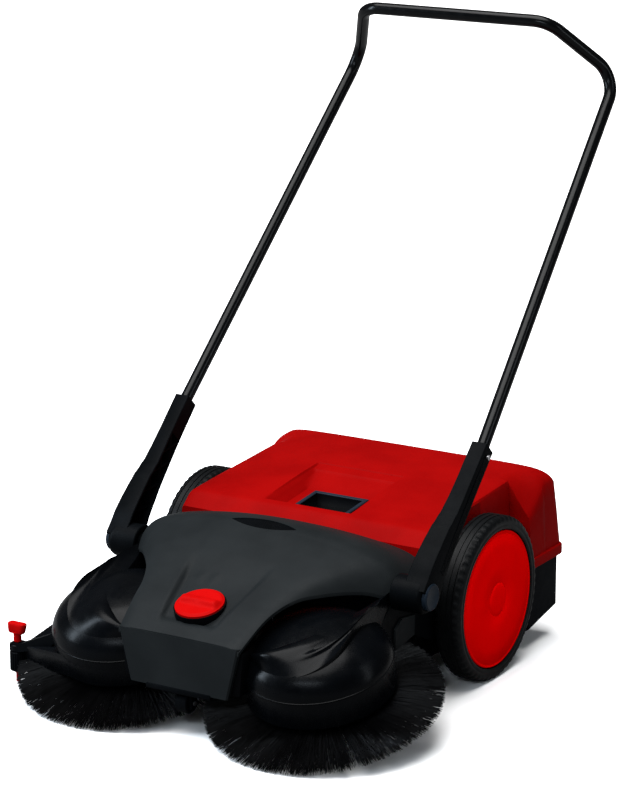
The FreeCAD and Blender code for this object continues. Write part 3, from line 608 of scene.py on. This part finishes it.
def strands(seed):
    """Ring of tapered bristles in loose clumps, drooping outwards from the plate."""
    rnd = random.Random(seed)
    shape = Shape()
    for base in turns(CLUMPS):
        lean = rnd.uniform(-0.035, 0.035)
        for _ in range(PER_CLUMP):
            root = base + rnd.uniform(-0.055, 0.055)
            turn = base + lean + rnd.gauss(0, 0.046)
            reach = TIP_R * (1 - abs(rnd.gauss(0, 0.018)))
            # Height along the axis at which a tip at the very front would touch the floor
            floor_h = (reach * math.sin(BRUSH_TILT) - BRUSH_Z) / math.cos(BRUSH_TILT)
            start_h = rnd.uniform(0.011, 0.021)
            tip_h = floor_h + FLOOR_GAP + rnd.uniform(0, 0.016)
            half = rnd.uniform(0.00055, 0.00095)
            bow = rnd.uniform(0.002, 0.008)
            rows = []
            for part in (0.0, 0.35, 0.7, 1.0):
                r = ROOT_R + (reach - ROOT_R) * part
                angle = root + (turn - root) * part
                h = start_h + (tip_h - start_h) * part + bow * 4 * part * (1 - part)
                wide = half * (1 - 0.62 * part)
                across = wide / r
                ring = [(r * math.cos(angle - across), r * math.sin(angle - across), h),
                        (r * math.cos(angle + across), r * math.sin(angle + across), h),
                        (r * math.cos(angle), r * math.sin(angle), h + 1.6 * wide)]
                rows.append([on_axis(p, BRUSH_CENTRE, BRUSH_TILT) for p in ring])
            shape.grid(rows, wrap=True)
    return shape


def brush_rings():
    make_pair(strands(11), strands(23).mirrored(), "strands", "bristle", "brush_{}", "bristles")


# ---------------------------------------------------------------- wheels

# Radius where the tyre's lugs start, radius of its grooves, and a radius that only its ribs exceed
TREAD_START, GROOVE_R, RIB_R = 0.1365, 0.1412, 0.1424
LUGS, LUG_DEPTH = 58, 0.0013


def tread(radius, turn):
    """Shallow lugs across the tyre's shoulders; its ribs and grooves stay round."""
    if radius < TREAD_START or radius > RIB_R or radius == GROOVE_R:
        return radius
    return radius - LUG_DEPTH * ease((0.2 - math.sin(LUGS * turn)) / 0.45)


def wheel_side():
    """Right-hand tyre and the red disc with its hub and fine rings."""
    tyre = Shape()
    profile = [(0.2554, 0.120), (0.2534, 0.1255), (0.2534, 0.1310), (0.2545, 0.1360), (0.2570, 0.1400),
               (0.2610, 0.1422), (0.2650, 0.1425), (0.2655, 0.1412), (0.2690, 0.1412), (0.2695, 0.1425),
               (0.2760, 0.1425), (0.2765, 0.1412), (0.2790, 0.1412), (0.2795, 0.1425), (0.2860, 0.1425),
               (0.2865, 0.1412), (0.2895, 0.1412), (0.2900, 0.1425), (0.2945, 0.1422), (0.2982, 0.1402),
               (0.3004, 0.1366), (0.3012, 0.1335), (0.3014, 0.1300), (0.3010, 0.1292), (0.3010, 0.1268),
               (0.3014, 0.1258), (0.3012, 0.1225), (0.3000, 0.1206), (0.2974, 0.120)]
    lathe_x(tyre, profile, WHEEL_Y, WHEEL_R, 464, tread)
    disc = Shape()
    face = [(0.2945, 0.0005), (0.2945, 0.1120), (0.2880, 0.1120), (0.2880, 0.1138), (0.2945, 0.1138),
            (0.2960, 0.1176), (0.2968, 0.1182), (0.2988, 0.1182), (0.2998, 0.1172), (0.2998, 0.1150),
            (0.2990, 0.1140), (0.2990, 0.1132), (0.2998, 0.1122), (0.3001, 0.0900), (0.3003, 0.0600),
            (0.3004, 0.0306), (0.3000, 0.0298), (0.2990, 0.0294), (0.2990, 0.0284), (0.3000, 0.0278),
            (0.3006, 0.0268), (0.3012, 0.0240), (0.3014, 0.0200), (0.3014, 0.0005)]
    lathe_x(disc, face, WHEEL_Y, WHEEL_R, 160)
    return tyre, disc


def wheels():
    tyre, disc = wheel_side()
    make_pair(tyre, tyre.mirrored(), "tread", "rubber", "wheel_{}", "tyre", 30)
    # The disc's red has painted light in it: it is the lid's paint made far lighter.
    make_pair(disc, disc.mirrored(), "dish", "red_disc_painted_light", "wheel_{}", "wheel_disc", 40)


# ---------------------------------------------------------------- height knob

def height_knob():
    """Round dial with a soft bar across it."""
    rim_z, bar_height, bar_half = 0.0040, 0.0068, 0.0085
    rows = []
    for r in (0.0005, 0.005, 0.010, 0.015, 0.020, 0.025, 0.030, 0.033, 0.036, 0.0385, 0.0400, 0.0408, KNOB_R):
        face_z = rim_z + 0.0026 * (1 - ease((r - 0.036) / 0.005))
        row = []
        for turn in turns(96):
            x, y = r * math.cos(turn), r * math.sin(turn)
            bar = bar_height * math.exp(-(y / bar_half) ** 4) * ease((0.0385 - abs(x)) / 0.008)
            row.append(on_axis((x, y, face_z + bar), KNOB_CENTRE, KNOB_TILT))
        rows.append(row)
    under = [(KNOB_R, -0.002), (0.009, -0.002), (0.009, -0.042), (0.0005, -0.042)]
    shape = Shape()
    shape.grid(rows + lathe_rows(under, KNOB_CENTRE, KNOB_TILT, 96), wrap=True, caps=True)
    make(shape, "dial", "red_knob", "height_knob", ("height_knob",), smooth_angle=50)


# ---------------------------------------------------------------- dirt container

BOX_FRONT, BOX_REAR = -0.106, 0.318
# The box is narrow between the wheels and wide behind them, from WELL_REAR on: half width and lower edge
WELL_REAR = 0.196
NARROW, WIDE = (0.246, 0.188), (0.285, 0.152)
BOX_CORNER = 0.014
# Height over which the sides and the rear wall lean in by one metre
SIDE_DRAFT, REAR_DRAFT = 18.8, 7.83


def box_side(y):
    """Half width and lower edge of the red box at y."""
    return NARROW if y < WELL_REAR else WIDE


def along_profile(y):
    """Height at y, and the steepness, of every straight line of the lid's profile on the middle plane."""
    corners = [(-0.106, 0.262), (-0.080, 0.285), (0.125, 0.312), (0.258, 0.318), (0.284, 0.309),
               (0.300, 0.286), (0.330, 0.211)]
    lines = []
    for (y0, z0), (y1, z1) in zip(corners, corners[1:]):
        slope = (z1 - z0) / (y1 - y0)
        lines.append((z0 + slope * (y - y0), math.hypot(1, slope)))
    return lines


def lid_height(x, y):
    """Height of the red top over (x, y): crown, sides and rear wall run into each other with soft edges."""
    half, base = box_side(y)[0], WIDE[1]
    crown = 0.293 + (y + 0.130) * 30 / 460 - 0.011 * (x / 0.25) ** 2 - 0.044 * abs(x / 0.288) ** 18
    if y >= WELL_REAR:
        crown -= 0.036 * (1 - ease((y - 0.190) / 0.075)) * ease((abs(x) - 0.222) / 0.050)
    tops = along_profile(y)

    def room(z):
        """How far inside the lid's surface the height z lies, rounded where two walls meet."""
        side = half - (z - base) / SIDE_DRAFT - abs(x)
        rear = BOX_REAR - (z - base) / REAR_DRAFT - y
        gaps = [crown - z] + [(height - z) / steep for height, steep in tops] + [side]
        if y > 0.25:
            gaps.append(soft_min((side, rear), 0.004))
        gaps.append(rear)
        return soft_min(gaps, 0.0018)

    low, high = base, 0.335
    for _ in range(18):
        middle = (low + high) / 2
        if room(middle) > 0:
            low = middle
        else:
            high = middle
    return low


POCKET_LEFT, POCKET_RIGHT, POCKET_FRONT, POCKET_REAR = -0.0735, 0.0735, -0.061, 0.038
CUP_DEPTH = 0.038


def pocket_floor(y):
    """Height of the pocket's floor, which rises to the rear."""
    return 0.2705 + (y - POCKET_FRONT) * 0.104


def pocket_height(x, y):
    """Floor of the grip pocket and its walls, stepped at the left and at the rear."""
    floor = pocket_floor(y)
    left, right = POCKET_LEFT - x, x - POCKET_RIGHT
    front, rear = POCKET_FRONT - y, y - POCKET_REAR
    if abs(x) < 0.0494 and -0.0464 < y < 0.0274:
        return floor - CUP_DEPTH
    walls = [floor]
    if right > 0:
        walls.append(floor + right * 7)
    if front > 0:
        walls.append(floor + front * 7)
    if left > 0:
        walls.append(floor + stepped(left, 0.024, 0.020))
    if rear > 0:
        walls.append(floor + stepped(rear, 0.084, 0.021))
    return max(walls)


def stepped(distance, run, climb):
    """Rise over a bevel of the given run: two slopes with a small ledge and a sharp edge between them."""
    part = distance / run
    if part < 0.62:
        return climb * 0.58 * part / 0.62
    if part < 0.66:
        return climb * (0.58 + 0.10 * (part - 0.62) / 0.04)
    if part < 0.90:
        return climb * (0.68 + 0.10 * (part - 0.66) / 0.24)
    return climb * (0.78 + 6.0 * (part - 0.90))


def spaced(stops, gap):
    """Grid positions through every stop, no further apart than gap."""
    result = [stops[0]]
    for a, b in zip(stops, stops[1:]):
        count = max(1, math.ceil((b - a) / gap - 1e-6))
        result += [a + (b - a) * (i + 1) / count for i in range(count)]
    return result


def container_lid():
    """Red top and sides as one sheet over the box, with the grip pocket pressed into it."""
    ys = spaced([BOX_FRONT, -0.1055, -0.104, -0.100, -0.084, -0.080, -0.076, -0.0615, -0.0605, -0.0465,
                 -0.0463, 0.0273, 0.0275, 0.037, 0.039, 0.089, 0.093, 0.0935, 0.096, 0.113, 0.115, 0.124,
                 0.130, 0.190, 0.1955, 0.1965, 0.200, 0.250, 0.256, 0.262, 0.268, 0.280, 0.286, 0.292, 0.296,
                 0.300, 0.303, 0.306, 0.309, 0.3115, 0.314, 0.3155, 0.3168, 0.3177, BOX_REAR], 0.0055)
    inner = [-0.0495, -0.0493, 0, 0.0493, 0.0495, 0.0725, 0.0735, 0.0745, 0.0765, 0.0772, 0.080]
    edge = [-0.1000, -0.0975, -0.0952, -0.0945, -0.0885, -0.0880, -0.0755, -0.0735, -0.0725]
    flat = 0.215
    columns = spaced(sorted(edge + inner + [-flat, -0.110, 0.110, flat]), 0.010)
    steps = [0.12, 0.24, 0.36, 0.48, 0.58, 0.67, 0.75, 0.81, 0.86, 0.90, 0.93, 0.955, 0.972, 0.985, 0.994,
             1.0]
    wall = 0.0035
    rows = []
    for y in ys:
        half, low_z = box_side(y)
        if y > BOX_REAR - BOX_CORNER:
            inside = (y - BOX_REAR + BOX_CORNER) / BOX_CORNER
            half -= BOX_CORNER * (1 - math.sqrt(max(0.0, 1 - inside * inside)))
        tail = [flat + (half - flat) * step for step in steps]
        row = []
        for x in [-x for x in tail[::-1]] + columns + tail:
            z = max(lid_height(x, y), low_z)
            if POCKET_LEFT - 0.026 < x < POCKET_RIGHT + 0.012 and POCKET_FRONT - 0.008 < y < 0.135:
                z = min(z, pocket_height(x, y))
            row.append((x, y, z))
        left, right = row[0][0], row[-1][0]
        row[0], row[-1] = (left, y, low_z), (right, y, low_z)
        rows.append([(left + wall, y, low_z)] + row + [(right - wall, y, low_z)])
    front = [(x, BOX_FRONT, NARROW[1]) for x, _, _ in rows[0]]
    front_in = [(x, BOX_FRONT + wall, NARROW[1]) for x, _, _ in rows[0]]
    rear_in = [(x * 0.985, BOX_REAR - wall, WIDE[1]) for x, _, _ in rows[-1]]
    shape = Shape()
    shape.grid([front_in, front] + rows + [rear_in])
    bead_rows(shape)
    make(shape, "lid", "red_lid", "container", ("container_shell",), smooth_angle=32)


def quarter(x, y, radius):
    """Points of a rounded rear corner about (x, y), from the side to the rear."""
    return [(x + radius * math.cos(math.pi * i / 16), y + radius * math.sin(math.pi * i / 16))
            for i in range(1, 9)]


def bead_rows(shape):
    """Raised band round the lower edge of the wide rear part."""
    half = [(WIDE[0], y) for y in (0.200, 0.230, 0.270, 0.304)]
    half += quarter(WIDE[0] - BOX_CORNER, 0.304, BOX_CORNER) + [(0.15, BOX_REAR), (0.0, BOX_REAR)]
    path = half + [(-x, y) for x, y in half[::-1][1:]]
    section = [(0.0000, 0.1495), (0.0022, 0.1500), (0.0030, 0.1512), (0.0030, 0.1650), (0.0024, 0.1672),
               (-0.0004, 0.1684), (-0.0030, 0.1684), (-0.0030, 0.1495)]
    rows = []
    for i, (x, y) in enumerate(path):
        ahead = (Vector(path[min(i + 1, len(path) - 1)]) - Vector(path[max(i - 1, 0)])).normalized()
        rows.append([(x + ahead.y * out, y - ahead.x * out, z) for out, z in section])
    shape.grid(rows, wrap=True, caps=True)


def tub():
    """Black bin under the lid, with a sloping floor, rounded rear corners and the dirt mouth."""
    step_y = 0.200
    outline = [(0.218, -0.102), (0.218, step_y), (0.280, step_y), (0.280, 0.301)]
    outline += quarter(0.268, 0.301, 0.012)
    loop = outline + [(-x, y) for x, y in outline[::-1]]

    def floor(y):
        return 0.052 if y < step_y - 0.0001 else 0.033 + (y - 0.190) * 0.1786

    low_in = [(x * 0.985, y * 0.99, floor(y)) for x, y in loop]
    low = [(x, y, floor(y) + 0.003) for x, y in loop]
    high = [(x, y, 0.158 if y > step_y - 0.0001 else 0.190) for x, y in loop]
    shape = Shape()
    shape.grid([low_in, low, high], wrap=True, caps=True)
    mouth = Shape()
    mouth.block(*(rectangle(0.190, -0.12, 0.15, z, z) for z in (0.064, 0.128)))
    make(shape, "bin", "tub_plastic", "container", ("container_tub",), cutters=(mouth,), smooth_angle=40)


def grip_ring(half, front, rear, lift):
    """Rectangle that follows the pocket's floor, lifted off it."""
    return rectangle(half, front, rear, pocket_floor(front) + lift, pocket_floor(rear) + lift)


def grip_cup():
    """Blue-grey rimmed frame round a dark finger cup."""
    rings = [grip_ring(*row) for row in (
        (0.0540, -0.0510, 0.0320, -0.0005), (0.0540, -0.0510, 0.0320, 0.0018),
        (0.0530, -0.0500, 0.0310, 0.0030), (0.0470, -0.0440, 0.0250, 0.0030),
        (0.0460, -0.0430, 0.0240, 0.0022), (0.0450, -0.0420, 0.0230, -0.0320),
        (0.0485, -0.0455, 0.0265, -0.0340), (0.0485, -0.0455, 0.0265, -0.0005))]
    shape = Shape()
    shape.grid(rings[:6], wrap=True)
    shape.add(rings[5], [(0, 1, 2, 3)])
    shape.grid(rings[6:] + rings[:1], wrap=True)
    shape.add(rings[6], [(0, 1, 2, 3)])
    make(shape, "grip", "cap_blue_grey", "container", ("grip_frame",), smooth_angle=30)
    walls = [grip_ring(0.0458 - inset, -0.0428 + inset, 0.0238 - inset, depth)
             for inset, depth in ((0.0, 0.0016), (0.0008, -0.0312), (0.0008, -0.0316), (0.0004, 0.0014))]
    lining = Shape()
    lining.grid(walls, wrap=True)
    for floor in walls[1:3]:
        lining.add(floor, [(0, 1, 2, 3)])
    make(lining, "grip_lining", "cup_black", "container", smooth_angle=30)


# ---------------------------------------------------------------- handle

SOCKET = Vector((0.2948, -0.0058, 0.425))
BEND_LOW = Vector((0.2623, 0.5334, 0.9638))
BEND_HIGH = Vector((0.185, 0.416, 1.0696))
LEG = (BEND_LOW - SOCKET).normalized()


def rounded_path(points, radius, steps):
    """Path through the points with its corners rounded."""
    path = [points[0]]
    for before, corner, after in zip(points, points[1:], points[2:]):
        back, ahead = (before - corner).normalized(), (after - corner).normalized()
        half = back.angle(ahead) / 2
        run = radius / math.tan(half)
        middle = corner + (back + ahead).normalized() * (radius / math.sin(half))
        start, end = corner + back * run - middle, corner + ahead * run - middle
        total = start.angle(end)
        for i in range(steps + 1):
            t = i / steps
            way = start * math.sin((1 - t) * total) + end * math.sin(t * total)
            path.append(middle + way / math.sin(total))
    path.append(points[-1])
    return path


def handle_tube():
    """The bent tube, from inside one bracket's socket over the crossbar to the other."""
    tube_r, bend_r, inside = 0.011, 0.048, 0.069
    foot = SOCKET - LEG * inside
    right = [foot, BEND_LOW, BEND_HIGH]
    left = [Vector((-p.x, p.y, p.z)) for p in right[::-1]]
    shape = Shape()
    sweep(shape, rounded_path(right + left, bend_r, 14), tube_r, 40)
    make(shape, "bar", "tube_paint", "handle", ("handle_tube",), smooth_angle=50)


ARM = (Vector((SOCKET.y, SOCKET.z)) - Vector((PIVOT_Y, PIVOT_Z))).normalized()


def arm_point(along, offset):
    """(y, z) of a point along the arm from the pivot, offset towards the front and top."""
    return (PIVOT_Y + along * ARM.x - offset * ARM.y, PIVOT_Z + along * ARM.y + offset * ARM.x)


def bracket_half(along, front):
    """How far the arm's front or rear edge lies from its middle line."""
    table = ((-0.010, 0.0285, -0.0275), (0.010, 0.0298, -0.0275), (0.040, 0.0325, -0.0215),
             (0.060, 0.032, -0.0178), (0.080, 0.0305, -0.0165), (0.110, 0.028, -0.0152),
             (0.130, 0.0235, -0.0155), (0.150, 0.0195, -0.016), (0.185, 0.0178, -0.0165),
             (0.230, 0.0168, -0.0162), (0.284, 0.016, -0.016))
    for (a0, f0, r0), (a1, f1, r1) in zip(table, table[1:]):
        if along <= a1:
            part = ease((along - a0) / (a1 - a0))
            return f0 + (f1 - f0) * part if front else r0 + (r1 - r0) * part
    return table[-1][1 if front else 2]


# Along the arm: its start and length, and where the channel ends and the solid socket begins
ARM_START, ARM_LENGTH, WEB_END = -0.006, 0.290, 0.205


def bracket():
    """Curved arm, a channel open inwards: crossing ribs in it, the pivot drum, and strips along its web."""
    shape = Shape()
    wall = 0.0032
    rows = []
    for i in range(59):
        along = ARM_START + ARM_LENGTH * i / 58
        rise = ease((along - 0.02) / 0.20)
        x_in, x_out = 0.273 + 0.008 * rise, 0.312 - 0.003 * rise
        front, rear = bracket_half(along, True), bracket_half(along, False)
        floor_x = x_out - 0.0035 if along < WEB_END else x_in + 0.0005
        ring = [(x_in, front - 0.001), (x_in + 0.0012, front), (x_out - 0.0022, front),
                (x_out - 0.0006, front - 0.0007), (x_out, front - 0.0022), (x_out, rear + 0.0014),
                (x_out - 0.0012, rear), (x_in + 0.001, rear), (x_in, rear + 0.001), (x_in, rear + wall),
                (floor_x, rear + wall + 0.0004), (floor_x, front - wall - 0.0004), (x_in, front - wall)]
        rows.append([(x, *arm_point(along, o)) for x, o in ring])
    shape.grid(rows, wrap=True, caps=True)
    for a0, a1 in ((0.036, 0.076), (0.076, 0.120), (0.120, 0.164), (0.164, 0.206)):
        for flip in (True, False):
            p = Vector(arm_point(a0, 0.90 * bracket_half(a0, flip)))
            q = Vector(arm_point(a1, 0.90 * bracket_half(a1, not flip)))
            side = Vector((-(q - p).y, (q - p).x)).normalized() * 0.0009
            ends = [p - side, p + side, q + side, q - side]
            shape.block([(0.281, *e) for e in ends], [(0.3090, *e) for e in ends])
    drum = [(0.2505, 0.0235), (0.2505, 0.0292), (0.2520, 0.0305), (0.2960, 0.0305), (0.3000, 0.0302),
            (0.3040, 0.0284), (0.3062, 0.0262), (0.3068, 0.0235)]
    lathe_x(shape, drum, PIVOT_Y, PIVOT_Z, 96)
    half_strip, strip_thick = 0.0006, 0.0009
    for k in range(6):
        offset = 0.0028 - 0.0024 * k
        near, far = (0.046, 0.3116), (0.262, 0.3090)
        corners = ((near, -half_strip), (near, half_strip), (far, half_strip), (far, -half_strip))
        shape.block(*([(x + thick, *arm_point(along, offset + out)) for (along, x), out in corners]
                      for thick in (0, strip_thick)))
    return shape


def brackets():
    """Both arms and the round caps on their pivots."""
    arm = bracket()
    make_pair(arm, arm.mirrored(), "arm", "black_plastic", "handle", "handle_bracket", 30)
    caps = Shape()
    lathe_x(caps, [(0.3060, 0.0005), (0.3060, 0.0225), (0.3135, 0.0225), (0.3150, 0.0212), (0.3153, 0.0200),
                   (0.3149, 0.0192), (0.3149, 0.0005)], PIVOT_Y, PIVOT_Z, 72)
    left = caps.mirrored()
    caps.add(left.verts, left.faces)
    make(caps, "end_caps", "cap_blue_grey", "handle", ("pivot_caps",), smooth_angle=40)


hood()
hood_apron()
brush_housings()
brush_rings()
wheels()
height_knob()
side_guard()
guide_wheel()
wing_knob()
container_lid()
tub()
grip_cup()
handle_tube()
brackets()


# ---------------------------------------------------------------- floor, light, camera

def soft_light(name, location, target, size, energy, colour):
    """Rectangular area light that looks at its target."""
    lamp = bpy.data.lights.new(name, "AREA")
    lamp.shape = "RECTANGLE"
    lamp.size, lamp.size_y = size
    lamp.energy = energy
    lamp.color = colour
    thing = bpy.data.objects.new(name, lamp)
    thing.location = location
    thing.rotation_euler = (Vector(target) - Vector(location)).to_track_quat("-Z", "Y").to_euler()
    scene.collection.objects.link(thing)


def build_stage():
    """White floor, which is no part of the object, a dim world, a broad sun and three soft lights."""
    bpy.ops.mesh.primitive_plane_add(size=60, location=(0, 0, 0))
    floor = bpy.context.object
    floor.name = "studio_floor"
    material, tree, shader = new_material("studio_floor")
    paper = noise(tree, 3.0, 2.0)
    seen = tree.nodes.new("ShaderNodeMixRGB")
    seen.inputs["Color1"].default_value = (0.20, 0.20, 0.20, 1)
    link(tree, tree.nodes.new("ShaderNodeLightPath"), "Is Camera Ray", seen, "Fac")
    link(tree, two_tone(tree, paper, (0.93, 0.93, 0.93), (0.95, 0.95, 0.95)), "Color", seen, "Color2")
    link(tree, seen, "Color", shader, "Base Color")
    shader.inputs["Roughness"].default_value = 0.9
    shader.inputs["Specular IOR Level"].default_value = 0.1
    floor.data.materials.append(material)
    world = bpy.data.worlds.new("studio_world")
    scene.world = world
    world.use_nodes = True
    world.node_tree.nodes["Background"].inputs["Color"].default_value = (1, 1, 1, 1)
    world.node_tree.nodes["Background"].inputs["Strength"].default_value = 0.10
    sun = bpy.data.lights.new("sun", "SUN")
    sun.energy = 7.0
    sun.angle = math.radians(58)
    lamp = bpy.data.objects.new("sun", sun)
    lamp.rotation_euler = Vector((0.14, 0.20, -1.0)).to_track_quat("-Z", "Y").to_euler()
    scene.collection.objects.link(lamp)
    middle = (0, 0, 0.25)
    soft_light("left_strip", (-2.6, -1.8, 1.5), middle, (0.6, 2.2), 105, (0.74, 0.87, 1.0))
    soft_light("front_strip", (0.6, -3.2, 1.9), middle, (1.8, 0.4), 40, (0.80, 0.90, 1.0))
    soft_light("right_strip", (3.2, 0.4, 1.5), (0, 0, 0.4), (0.35, 2.6), 20, (0.85, 0.93, 1.0))


def build_camera():
    """Camera where the perspective fit to the photograph puts it."""
    data = bpy.data.cameras.new("camera")
    data.lens = 135.99
    data.sensor_fit = "VERTICAL"
    data.sensor_height = 36
    camera = bpy.data.objects.new("camera", data)
    camera.location = Vector((2.5587, -4.2598, 1.7827)) + SHIFT
    back = Vector((0.50444, -0.82427, 0.25712))
    camera.rotation_mode = "QUATERNION"
    camera.rotation_quaternion = (-back).to_track_quat("-Z", "Y")
    scene.collection.objects.link(camera)
    scene.camera = camera


build_stage()
build_camera()
scene.view_settings.view_transform = "Standard"
